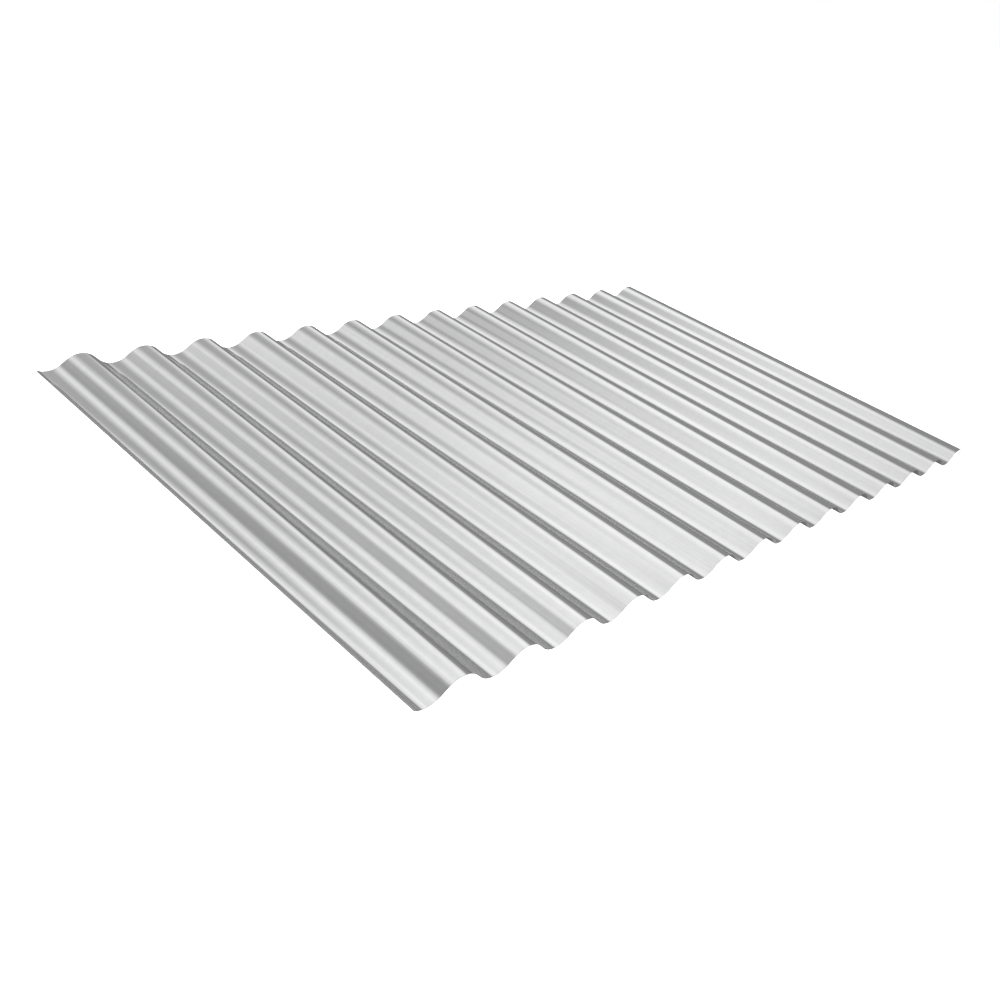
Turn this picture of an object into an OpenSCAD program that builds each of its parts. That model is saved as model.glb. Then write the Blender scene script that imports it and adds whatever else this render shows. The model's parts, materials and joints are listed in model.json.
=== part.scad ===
// Corrugated metal sheet: one galvanised sheet, roll-formed into round waves.
// Across the sheet (X) each crest and trough is an arc, and a short straight flank joins
// each arc to the next. Along the sheet (Y) the section never changes.
// Z points up. The origin is the middle of the footprint, on the surface it lies on.

/* [Sheet] */
// Length along the waves, from one cut end to the other
sheet_length = 610; // [300:5:3600]
// Thickness of the metal, zinc included
metal_thickness = 0.5; // [0.4:0.05:1.2]

/* [Waves] */
// Distance from one crest to the next
wave_pitch = 76.2; // [60:0.1:94]
// Height of the waves over the outside of the metal, from trough to crest
wave_depth = 17; // [14:0.1:24]
// Slope of the straight flank between a crest and a trough, in degrees
flank_angle = 40; // [30:0.5:46]
// Number of crests across the sheet
crest_count = 14; // [2:1:20]

/* [Side edges] */
// How far the left edge runs past the bottom of the first trough
left_lip = 12; // [2:0.5:36]
// How far the right edge runs past the top of the last crest
right_lip = 9; // [2:0.5:36]

/* [Hidden] */

// Each bend is drawn with this many flats, which touch its true arc at their middles. An
// odd number leaves one flat level on top of each crest, and one level under each trough,
// where the sheet rests.
bend_flats = 13;
flat_angle = 2 * flank_angle / bend_flats;

// The bends' radius to the middle of the metal, and that middle line's height. At this
// radius a flank and the halves of two bends fill half a pitch and the whole height.
half_metal = metal_thickness / 2;
line_height = wave_depth - metal_thickness;
bend_radius = (wave_pitch / 2 * sin(flank_angle) - line_height * cos(flank_angle))
    / (2 * (1 - cos(flank_angle)));

// Heights of the bends' centres above the surface that the troughs lie on
trough_centre = bend_radius + half_metal;
crest_centre = wave_depth - bend_radius - half_metal;

// Width over all, and the place of the first trough when that width is centred on X = 0
sheet_width = left_lip + (crest_count - 0.5) * wave_pitch + right_lip;
first_trough = left_lip - sheet_width / 2;

// One bend, as a list of stations [centre x, centre z, up, turn] from left to right. up is
// 1 for a crest and -1 for a trough, and turn is the angle away from straight up or down.
function bend(x, z, up) =
    [for (i = [0:bend_flats]) [x, z, up, i * flat_angle - flank_angle]];

// Where a station meets the face that lies at this offset above the middle of the metal
function face_point(station, offset) =
    let (reach = (bend_radius + station[2] * offset) / cos(flat_angle / 2))
    [
        station[0] + reach * sin(station[3]),
        station[1] + reach * cos(station[3]) * station[2]
    ];

// Stations for a trough and a crest per wave, with one more wave at each side to cut off
stations = [
    for (wave = [-1:crest_count])
        let (x = first_trough + wave * wave_pitch)
        each concat(bend(x, trough_centre, -1), bend(x + wave_pitch / 2, crest_centre, 1))
];

// The whole wave line as a strip of metal: along its upper face and back along its lower
module wave_strip() {
    last = len(stations) - 1;
    polygon(concat(
        [for (station = stations) face_point(station, half_metal)],
        [for (i = [last:-1:0]) face_point(stations[i], -half_metal)]
    ));
}

// Cross-section of the sheet: the strip, slit to width at both side edges
module section() {
    intersection() {
        wave_strip();
        translate([-sheet_width / 2, -wave_depth])
            square([sheet_width, 3 * wave_depth]);
    }
}

module sheet() {
    color([0.80, 0.81, 0.82])
        translate([0, sheet_length / 2, 0])
            rotate([90, 0, 0])
                linear_extrude(height = sheet_length)
                    section();
}

sheet();
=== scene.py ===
# %% [markdown]
# # A corrugated metal sheet
# One sheet of bare galvanised steel, pressed between rolls into round waves. It lies on a
# pale studio floor, and the camera looks down on it across the waves. Everything on such a
# sheet is light: the metal has hardly any colour of its own, so what a viewer reads as
# stripes are the lamps, bent by the waves. So the effort goes into three things: a surface
# whose slope is right everywhere, a metal with the fine marks of the mill, and a plain studio
# with soft lamps in the right places.

# %% Load the measured model
import json
import math

import bmesh
import bpy
from mathutils import Matrix, Vector


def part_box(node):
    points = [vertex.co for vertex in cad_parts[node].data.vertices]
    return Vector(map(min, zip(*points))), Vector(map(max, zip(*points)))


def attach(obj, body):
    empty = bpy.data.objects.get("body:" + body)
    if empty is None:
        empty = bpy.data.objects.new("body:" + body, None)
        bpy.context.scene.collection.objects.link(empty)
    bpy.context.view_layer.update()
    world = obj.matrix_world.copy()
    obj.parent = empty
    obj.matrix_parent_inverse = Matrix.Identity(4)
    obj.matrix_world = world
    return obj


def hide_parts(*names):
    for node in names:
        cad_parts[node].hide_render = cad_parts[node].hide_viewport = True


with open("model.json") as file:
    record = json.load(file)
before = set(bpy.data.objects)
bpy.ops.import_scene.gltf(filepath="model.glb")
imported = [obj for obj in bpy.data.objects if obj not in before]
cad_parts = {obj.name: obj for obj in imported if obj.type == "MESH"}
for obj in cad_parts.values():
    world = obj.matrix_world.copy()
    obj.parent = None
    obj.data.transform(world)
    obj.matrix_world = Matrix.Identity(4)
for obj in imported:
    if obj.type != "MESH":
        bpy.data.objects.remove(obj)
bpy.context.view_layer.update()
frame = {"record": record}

# %% [markdown]
# The sheet's sizes come from the measured model. Its box gives the length, the width and
# the depth. The two side laps are thirteen waves apart, which gives the distance from crest
# to crest, and one lap is the top of the metal where the other is its underside, which
# gives the thickness.

# %% Read the sheet's sizes
MM = 0.001
low, high = (Vector(corner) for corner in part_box("sheet"))
length = high.y - low.y
depth = high.z - low.z
lap = {m["name"]: Vector(m["pos_m"]) for m in frame["record"]["mounts"]}
covered_waves = 13
pitch = (lap["right_lap"].x - lap["left_lap"].x) / covered_waves
metal = lap["left_lap"].z - lap["right_lap"].z
first_crest = lap["left_lap"].x
print(f"length {length:.4f}, pitch {pitch:.4f}, depth {depth:.4f}, metal {metal:.4f}")

# %% [markdown]
# ## The wave, as a line
# Seen from its cut end, the sheet is one thin line that rises and falls. The rolls give it
# a round crest and a round trough of the same radius, with a short straight flank between
# them. A sine curve would be easier to write, but its slope never stays constant, and the
# straight flank is what gives real sheet its flat, even stripe of reflection. So the line
# is built as the rolls build it: arc, flank, arc.

# %% Radius of the bends
FLANK_DEGREES = 40
flank_slope = math.radians(FLANK_DEGREES)
line_height = depth - metal
bend_radius = (pitch / 2 * math.sin(flank_slope) - line_height * math.cos(flank_slope)) / (
    2 * (1 - math.cos(flank_slope))
)
print(f"bend radius to the middle of the metal {bend_radius / MM:.2f} mm")

# %% Stations along the line
# Each station is the middle of the metal and how far its upper face leans to the right.
BEND_STEPS = 22
trough_centre = low.z + metal / 2 + bend_radius
crest_centre = high.z - metal / 2 - bend_radius


def bend(centre_x, is_crest, first=-flank_slope, last=flank_slope, steps=BEND_STEPS):
    """Stations of one arc, from left to right."""
    stations = []
    for i in range(steps + 1):
        turn = first + (last - first) * i / steps
        x = centre_x + bend_radius * math.sin(turn)
        if is_crest:
            stations.append((x, crest_centre + bend_radius * math.cos(turn), turn))
        else:
            stations.append((x, trough_centre - bend_radius * math.cos(turn), -turn))
    return stations


def edge_turn(edge_x, centre_x):
    """The turn at which an arc reaches a side edge that is cut square to the metal."""
    turn = math.asin((edge_x - centre_x) / bend_radius)
    overhang = metal / 2 * abs(math.sin(turn))
    return turn - math.copysign(overhang / (bend_radius * math.cos(turn)), turn)


crest_count = math.floor((high.x - first_crest) / pitch) + 1
line = []
for wave in range(crest_count):
    crest_x = first_crest + wave * pitch
    trough_x = crest_x - pitch / 2
    trough_start = edge_turn(low.x, trough_x) if wave == 0 else -flank_slope
    crest_end = edge_turn(high.x, crest_x) if wave == crest_count - 1 else flank_slope
    line += bend(trough_x, False, first=trough_start)
    line += bend(crest_x, True, last=crest_end)
print(f"{crest_count} crests, {len(line)} stations across the sheet")

# %% [markdown]
# ## The sheet as a mesh
# The line is swept along the sheet twice, once for the upper face and once for the lower,
# and the two are joined round all four edges, so the metal has its true thickness. bmesh
# suits this, because each vertex can be put exactly where the line says. A Solidify
# modifier would do nearly the same, but it guesses the thickness direction from the faces
# around a vertex, and at this thickness a small error shows in the reflections.

# %% Sweep the line into a closed sheet
ROWS = 20


def face_point(station, y, offset):
    """The point of the sheet that lies this far above the middle of the metal."""
    x, z, lean = station
    return (x + offset * math.sin(lean), y, z + offset * math.cos(lean))


def sweep_sheet(name):
    mesh = bpy.data.meshes.new(name)
    bm = bmesh.new()
    rows = []
    for row in range(ROWS + 1):
        y = low.y + length * row / ROWS
        top = [bm.verts.new(face_point(s, y, metal / 2)) for s in line]
        under = [bm.verts.new(face_point(s, y, -metal / 2)) for s in line]
        rows.append((top, under))
    last = len(line) - 1
    for (top, under), (next_top, next_under) in zip(rows, rows[1:]):
        for i in range(last):
            bm.faces.new((top[i], top[i + 1], next_top[i + 1], next_top[i]))
            bm.faces.new((under[i], next_under[i], next_under[i + 1], under[i + 1]))
        bm.faces.new((top[0], next_top[0], next_under[0], under[0])).material_index = 1
        side = bm.faces.new((top[last], under[last], next_under[last], next_top[last]))
        side.material_index = 1
    for (top, under), flip in ((rows[0], False), (rows[-1], True)):
        for i in range(last):
            corners = (top[i], under[i], under[i + 1], top[i + 1])
            cut = bm.faces.new(corners[::-1] if flip else corners)
            cut.material_index = 1
    bm.normal_update()
    bm.to_mesh(mesh)
    bm.free()
    sheet = bpy.data.objects.new(name, mesh)
    bpy.context.scene.collection.objects.link(sheet)
    return sheet


sheet = sweep_sheet("corrugated_sheet")
print("faces before the edges are softened:", len(sheet.data.polygons))

# %% [markdown]
# ## Soft edges
# A shear leaves an edge that is sharp but never perfectly so: one corner is rolled over a
# little and the other carries a fine burr. Extra rows of vertices could round them, but a
# bevel modifier does it after the sheet is built and leaves the waves alone. A tenth of a
# millimetre is enough to catch a thread of light along every cut, which is how the eye tells
# thin metal from paper.

# %% Round the cut edges and shade the waves smooth
EDGE_ROUNDING = 0.12 * MM
SHARPEST_BEND_KEPT = 60
for face in sheet.data.polygons:
    face.use_smooth = True
soft_edge = sheet.modifiers.new("soft edge", "BEVEL")
soft_edge.limit_method = "ANGLE"
soft_edge.angle_limit = math.radians(SHARPEST_BEND_KEPT)
soft_edge.width = EDGE_ROUNDING
soft_edge.segments = 2
soft_edge.harden_normals = True
bpy.context.view_layer.update()
print("sheet box:", tuple(round(c, 4) for c in sheet.dimensions))

# %% [markdown]
# ## Marks of the mill
# Sheet steel is rolled lengthwise, so its marks run lengthwise too: hair-fine lines, each
# a little brighter or duller than the next. They can be made from one noise texture by
# stretching its coordinates, long along the sheet and tight across it. The effect is
# needed by the faces and by the cut edges, so it is one node group with its own inputs.

# %% Helpers for node trees


def new_group(name, inputs, outputs):
    """An empty shader group with float inputs {name: default} and named outputs."""
    group = bpy.data.node_groups.new(name, "ShaderNodeTree")
    for socket_name, default in inputs.items():
        socket = group.interface.new_socket(
            socket_name, in_out="INPUT", socket_type="NodeSocketFloat"
        )
        socket.default_value = default
    for socket_name in outputs:
        group.interface.new_socket(
            socket_name, in_out="OUTPUT", socket_type="NodeSocketFloat"
        )
    return group, group.nodes.new("NodeGroupInput"), group.nodes.new("NodeGroupOutput")


def add(tree, kind, **settings):
    """A new node with its settings. Values of inputs are given as in_Name_of_input."""
    node = tree.nodes.new(kind)
    for key, value in settings.items():
        if not key.startswith("in_"):
            setattr(node, key, value)
    for key, value in settings.items():
        if key.startswith("in_"):
            node.inputs[key[3:].replace("_", " ")].default_value = value
    return node


def math_node(tree, operation, a, b):
    """The result of one sum. Each side of it is a number or another node's output."""
    node = add(tree, "ShaderNodeMath", operation=operation)
    for socket, value in zip(node.inputs, (a, b)):
        if isinstance(value, (int, float)):
            socket.default_value = value
        else:
            tree.links.new(value, socket)
    return node.outputs[0]


# %% A node group for rolled streaks
BROAD_TO_FINE = 6.0


def build_rolled_streaks():
    group, given, result = new_group(
        "rolled streaks", {"Lines per metre": 600.0, "Stretch": 400.0}, ["Fine", "Broad"]
    )
    link = group.links.new
    place = group.nodes.new("ShaderNodeTexCoord").outputs["Object"]
    for output, divider in (("Fine", 1.0), ("Broad", BROAD_TO_FINE)):
        across = math_node(group, "DIVIDE", given.outputs["Lines per metre"], divider)
        along = math_node(group, "DIVIDE", across, given.outputs["Stretch"])
        scale = group.nodes.new("ShaderNodeCombineXYZ")
        link(across, scale.inputs["X"])
        link(along, scale.inputs["Y"])
        link(across, scale.inputs["Z"])
        stretched = add(group, "ShaderNodeVectorMath", operation="MULTIPLY")
        link(place, stretched.inputs[0])
        link(scale.outputs[0], stretched.inputs[1])
        noise = add(group, "ShaderNodeTexNoise", in_Scale=1.0, in_Detail=3.0)
        link(stretched.outputs[0], noise.inputs["Vector"])
        link(noise.outputs["Fac"], result.inputs[output])
    return group


rolled_streaks = build_rolled_streaks()
print("rolled streaks:", [s.name for s in rolled_streaks.interface.items_tree])

# %% [markdown]
# ## Zinc crystals
# Hot-dip zinc freezes into crystals, and a skin pass between smooth rolls then presses most
# of the pattern away. Voronoi cells give patches of the right shape, each with a random
# tone of its own. A painted texture could be closer to one real sheet, but it would repeat,
# and here the patches are so faint that only their size matters.

# %% A node group for zinc crystals
CRYSTAL_SIZE = 6 * MM


def build_crystals():
    group, given, result = new_group(
        "zinc crystals", {"Size in metres": CRYSTAL_SIZE}, ["Patch"]
    )
    place = group.nodes.new("ShaderNodeTexCoord").outputs["Object"]
    cells = add(group, "ShaderNodeTexVoronoi", feature="F1", in_Randomness=1.0)
    cells_per_metre = math_node(group, "DIVIDE", 1.0, given.outputs["Size in metres"])
    group.links.new(cells_per_metre, cells.inputs["Scale"])
    group.links.new(place, cells.inputs["Vector"])
    shade = group.nodes.new("ShaderNodeSeparateColor")
    group.links.new(cells.outputs["Color"], shade.inputs[0])
    group.links.new(shade.outputs["Red"], result.inputs["Patch"])
    return group


zinc_crystals = build_crystals()
print("zinc crystals, in millimetres:", round(CRYSTAL_SIZE / MM, 2))

# %% Helpers for a metal material


def place_group(tree, group, **values):
    """The node group placed in a material, with its inputs given as in add()."""
    return add(tree, "ShaderNodeGroup", node_tree=group, **values)


def spread(tree, mask, ends):
    """The mask, from 0 to 1, turned into a value from the first end to the second."""
    node = add(tree, "ShaderNodeMapRange")
    tree.links.new(mask, node.inputs["Value"])
    node.inputs["To Min"].default_value, node.inputs["To Max"].default_value = ends
    return node.outputs[0]


def metal_material(name):
    material = bpy.data.materials.new(name)
    material.use_nodes = True
    tree = material.node_tree
    shader = tree.nodes["Principled BSDF"]
    shader.inputs["Metallic"].default_value = 1.0
    return material, tree, shader


# %% [markdown]
# ## The zinc face
# It is a bright satin metal: fine rolled lines, very faint crystal patches, and a surface
# that is never quite flat. All of it is done with one metallic shader. The streaks and the
# crystals change its colour and roughness by a few parts in a hundred, and a shallow bump
# lets the reflections waver a little. Where one wave mirrors the next, the unevenness of
# both adds up and nothing is left of the picture, so a wave that is seen in another wave is
# much rougher than one that is seen directly.

# %% Rolled zinc
# ZINC is the share of the light that the metal sends back, and the colour is nearly that.
ZINC = 0.62
ZINC_COLOUR = (0.609, 0.6125, 0.6115)
FINE_TONES = (0.92, 1.08)
BROAD_TONES = (0.94, 1.06)
CRYSTAL_TONES = (0.985, 1.015)
SATIN = (0.06, 0.12)
EXTRA_BLUR = 0.6
STREAK_DEPTH = 0.02 * MM
STREAK_STRENGTH = 0.25


def build_zinc():
    material, tree, shader = metal_material("rolled zinc")
    streaks = place_group(tree, rolled_streaks)
    crystals = place_group(tree, zinc_crystals)
    fine = spread(tree, streaks.outputs["Fine"], FINE_TONES)
    broad = spread(tree, streaks.outputs["Broad"], BROAD_TONES)
    patch = spread(tree, crystals.outputs["Patch"], CRYSTAL_TONES)
    shade = math_node(tree, "MULTIPLY", math_node(tree, "MULTIPLY", fine, broad), patch)
    colour = add(tree, "ShaderNodeVectorMath", operation="SCALE")
    colour.inputs[0].default_value = ZINC_COLOUR
    tree.links.new(shade, colour.inputs["Scale"])
    tree.links.new(colour.outputs[0], shader.inputs["Base Color"])
    satin = spread(tree, streaks.outputs["Broad"], SATIN)
    mirrored = tree.nodes.new("ShaderNodeLightPath").outputs["Is Glossy Ray"]
    blur = spread(tree, mirrored, (0.0, EXTRA_BLUR))
    tree.links.new(math_node(tree, "ADD", satin, blur), shader.inputs["Roughness"])
    bump = add(
        tree, "ShaderNodeBump", in_Strength=STREAK_STRENGTH, in_Distance=STREAK_DEPTH
    )
    tree.links.new(streaks.outputs["Fine"], bump.inputs["Height"])
    tree.links.new(bump.outputs[0], shader.inputs["Normal"])
    return material


sheet.data.materials.append(build_zinc())
print("face:", sheet.data.materials[0].name)

# %% [markdown]
# ## The sheared edge
# The shear goes through the zinc and shows the steel, which is duller and rougher, with
# short marks across the cut. The same streaks do for it, much closer together and hardly
# stretched. The sweep and the caps gave these faces their own material number.

# %% Sheared steel on the cut edges
STEEL_TONES = (0.55, 0.75)
STEEL_ROUGHNESS = (0.3, 0.5)


def build_cut_steel():
    material, tree, shader = metal_material("sheared steel edge")
    streaks = place_group(tree, rolled_streaks, in_Lines_per_metre=2500.0, in_Stretch=6.0)
    tone = spread(tree, streaks.outputs["Fine"], STEEL_TONES)
    rough = spread(tree, streaks.outputs["Broad"], STEEL_ROUGHNESS)
    tree.links.new(tone, shader.inputs["Base Color"])
    tree.links.new(rough, shader.inputs["Roughness"])
    return material


sheet.data.materials.append(build_cut_steel())
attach(sheet, "root")
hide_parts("sheet")
print("finishes:", [m.name for m in sheet.data.materials])

# %% [markdown]
# ## The studio floor
# A bright metal shows its surroundings more than itself, so the studio is part of the
# finish. The floor is plain and pale. A white floor this close would fill the underside of
# every reflection with white, so only the camera sees it white. Everything else sees it
# dull, as it is in a studio where the lamps point at the object.

# %% Floor
FLOOR_SIZE = 60.0
FLOOR_TONES = (0.9, 0.93)
FLOOR_IN_METAL = 0.12


def build_floor():
    mesh = bpy.data.meshes.new("studio_floor")
    bm = bmesh.new()
    bmesh.ops.create_grid(bm, x_segments=24, y_segments=24, size=FLOOR_SIZE / 2)
    bmesh.ops.translate(bm, verts=bm.verts, vec=(0, 0, low.z))
    bm.to_mesh(mesh)
    bm.free()
    floor = bpy.data.objects.new("studio_floor", mesh)
    bpy.context.scene.collection.objects.link(floor)
    paint = bpy.data.materials.new("pale studio paint")
    paint.use_nodes = True
    tree = paint.node_tree
    shader = tree.nodes["Principled BSDF"]
    shader.inputs["Roughness"].default_value = 0.9
    shader.inputs["Specular IOR Level"].default_value = 0.1
    clouds = add(tree, "ShaderNodeTexNoise", in_Scale=2.0, in_Detail=4.0)
    seen = tree.nodes.new("ShaderNodeLightPath").outputs["Is Camera Ray"]
    dimming = spread(tree, seen, (FLOOR_IN_METAL, 1.0))
    pale = spread(tree, clouds.outputs["Fac"], FLOOR_TONES)
    tree.links.new(math_node(tree, "MULTIPLY", pale, dimming), shader.inputs["Base Color"])
    mesh.materials.append(paint)
    return floor


floor = build_floor()
print("floor at", low.z)

# %% [markdown]
# ## Soft lamps
# A studio lamp behind cloth is brightest in the middle and fades out towards its edges. An
# area light would do for plain light, but its edges are hard, and on these waves every edge
# of a lamp becomes a line along the sheet. So each lamp is a level plane that glows by a
# formula. The camera doesn't see it, it throws no shadow, and its light adds to whatever
# lies behind it, so lamps may overlap.

# %% The glow of a lamp


def fading(tree, distance, fade):
    """A mask that rises from 0 at an edge to 1 at this depth inside it."""
    ramp = add(tree, "ShaderNodeMapRange", interpolation_type="SMOOTHSTEP")
    tree.links.new(distance, ramp.inputs["Value"])
    ramp.inputs["From Max"].default_value = fade
    return ramp.outputs[0]


def lamp_glow(name, left, right, end, fades, brightness):
    """Light that fills the plane from left to right and from -end to end, and fades."""
    left_fade, right_fade, end_fade = fades
    glow = bpy.data.materials.new(name)
    glow.use_nodes = True
    glow.cycles.emission_sampling = "NONE"
    tree = glow.node_tree
    tree.nodes.clear()
    parts = tree.nodes.new("ShaderNodeSeparateXYZ")
    tree.links.new(tree.nodes.new("ShaderNodeTexCoord").outputs["Object"], parts.inputs[0])
    x, y = parts.outputs["X"], parts.outputs["Y"]
    from_end = math_node(tree, "SUBTRACT", end, math_node(tree, "ABSOLUTE", y, 0.0))
    strength = fading(tree, from_end, end_fade)
    for distance, fade in (
        (math_node(tree, "SUBTRACT", x, left), left_fade),
        (math_node(tree, "SUBTRACT", right, x), right_fade),
    ):
        strength = math_node(tree, "MULTIPLY", strength, fading(tree, distance, fade))
    emission = tree.nodes.new("ShaderNodeEmission")
    strength = math_node(tree, "MULTIPLY", strength, brightness)
    tree.links.new(strength, emission.inputs["Strength"])
    clear = tree.nodes.new("ShaderNodeBsdfTransparent")
    both = tree.nodes.new("ShaderNodeAddShader")
    tree.links.new(emission.outputs[0], both.inputs[0])
    tree.links.new(clear.outputs[0], both.inputs[1])
    result = tree.nodes.new("ShaderNodeOutputMaterial")
    tree.links.new(both.outputs[0], result.inputs["Surface"])
    return glow


# %% Four soft lamps


def soft_lamp(name, centre, half_size, turn, seen, fades):
    """A level lamp whose light fades across its left edge, its right edge and its ends.

    Each fade is centred on its edge, so the lamp reaches half a fade further out. The
    light is given as bright as the zinc shows it.
    """
    half_width, half_length = half_size
    left_fade, right_fade, end_fade = fades
    left, right = -half_width - left_fade / 2, half_width + right_fade / 2
    end = half_length + end_fade / 2
    mesh = bpy.data.meshes.new(name)
    bm = bmesh.new()
    corners = ((left, -end), (right, -end), (right, end), (left, end))
    bm.faces.new([bm.verts.new((x, y, 0)) for x, y in corners])
    bm.to_mesh(mesh)
    bm.free()
    mesh.materials.append(lamp_glow(name, left, right, end, fades, seen / ZINC))
    lamp = bpy.data.objects.new(name, mesh)
    bpy.context.scene.collection.objects.link(lamp)
    lamp.location = centre
    lamp.rotation_euler.z = math.radians(turn)
    lamp.visible_camera = False
    lamp.visible_shadow = False
    return lamp


# Name, centre, half the width and length, turn in degrees, light, and the three fades
lamps = [
    soft_lamp("long_lamp", (2.37, 3.11, 1.32), (0.48, 6.8), -34, 0.42, (0.95, 0.5, 2.7)),
    soft_lamp("left_lamp", (-0.86, 2.5, 1.73), (0.47, 2.35), 4, 0.56, (1.5, 1.4, 0.6)),
    soft_lamp("ceiling", (0.59, 4.46, 2.0), (2.6, 7.2), -25.7, 0.13, (2.8, 0.5, 2.0)),
    soft_lamp("front_lamp", (0.44, 1.8, 3.4), (2.27, 0.71), -0.5, 0.096, (0.15, 0.3, 1.3)),
]
print("lamps:", [lamp.name for lamp in lamps])

# %% [markdown]
# ## Room and fill
# Past the lamps the metal shows the room: nearly dark on the left, a dull grey on the right,
# and darker towards the floor. That grey is what fills the right-hand flank of each wave. It
# is the world's own colour, by direction, and the camera sees a white backdrop in its place.
# One more light, straight down, whitens the floor for the camera. The sheet is left out of
# what blocks it, so no shadow gathers under the waves.

# %% Room
WALL_CHANGE = (-0.3, 0.3)
DIM_BELOW = 0.35


def ramp_between(tree, value, ends, results):
    """A smooth change between two results as the value goes from one end to the other."""
    ramp = add(tree, "ShaderNodeMapRange", interpolation_type="SMOOTHSTEP")
    tree.links.new(value, ramp.inputs["Value"])
    for socket, number in zip(("From Min", "From Max", "To Min", "To Max"), ends + results):
        ramp.inputs[socket].default_value = number
    return ramp.outputs[0]


def build_room(left, right, low_down, backdrop):
    """A dull room for the metal to reflect, and a white backdrop for the camera.

    left and right are given as bright as the zinc shows them, and low_down is the share of
    its brightness that the room keeps near the floor.
    """
    world = bpy.data.worlds.new("studio_room")
    bpy.context.scene.world = world
    world.use_nodes = True
    tree = world.node_tree
    seen = tree.nodes.new("ShaderNodeLightPath").outputs["Is Camera Ray"]
    direction = tree.nodes.new("ShaderNodeTexCoord").outputs["Generated"]
    parts = tree.nodes.new("ShaderNodeSeparateXYZ")
    tree.links.new(direction, parts.inputs[0])
    walls = ramp_between(tree, parts.outputs["X"], WALL_CHANGE, (left / ZINC, right / ZINC))
    height = ramp_between(tree, parts.outputs["Z"], (0.0, DIM_BELOW), (low_down, 1.0))
    dull = math_node(tree, "MULTIPLY", walls, height)
    shade = add(tree, "ShaderNodeMix", data_type="FLOAT")
    tree.links.new(seen, shade.inputs["Factor"])
    tree.links.new(dull, shade.inputs[2])
    shade.inputs[3].default_value = backdrop
    tree.links.new(shade.outputs[0], tree.nodes["Background"].inputs["Color"])
    return world


room = build_room(left=0.09, right=0.245, low_down=0.68, backdrop=1.0)
print("world:", room.name)

# %% Light for the floor
FILL_DEGREES = 60


def build_fill(strength):
    """Even light for the floor. The metal neither reflects it nor throws a shadow in it."""
    data = bpy.data.lights.new("floor_fill", "SUN")
    data.energy = strength
    data.angle = math.radians(FILL_DEGREES)
    fill = bpy.data.objects.new("floor_fill", data)
    bpy.context.scene.collection.objects.link(fill)
    fill.visible_glossy = False
    blockers = bpy.data.collections.new("shadows in the fill")
    blockers.objects.link(floor)
    fill.light_linking.blocker_collection = blockers
    return fill


floor_fill = build_fill(strength=6.0)
print("fill:", floor_fill.name, floor_fill.data.energy)

# %% [markdown]
# ## The camera
# It looks down along the diagonal of the sheet from beyond its near left corner, and it is
# tipped to one side, so the waves run down to the right.

# %% Camera
LOOK_AZIMUTH, LOOK_DOWN, TIP = (math.radians(a) for a in (38.426, -26.105, 14.428))
camera_data = bpy.data.cameras.new("camera")
camera_data.sensor_width = 36
camera_data.lens = 39.88
camera_data.shift_x = 0.0146
camera_data.shift_y = -0.0454
camera_data.clip_start = 0.01
camera = bpy.data.objects.new("camera", camera_data)
bpy.context.scene.collection.objects.link(camera)
forward = Vector(
    (
        math.cos(LOOK_DOWN) * math.cos(LOOK_AZIMUTH),
        math.cos(LOOK_DOWN) * math.sin(LOOK_AZIMUTH),
        math.sin(LOOK_DOWN),
    )
)
level_right = forward.cross(Vector((0, 0, 1))).normalized()
level_up = level_right.cross(forward)
right = level_right * math.cos(TIP) + level_up * math.sin(TIP)
up = right.cross(forward)
camera.matrix_world = Matrix((right, up, -forward)).transposed().to_4x4()
camera.location = (-1.03573, -0.71532, 0.54570)
bpy.context.scene.camera = camera
bpy.context.scene.view_settings.view_transform = "Standard"
print("camera", [round(c, 3) for c in camera.location])
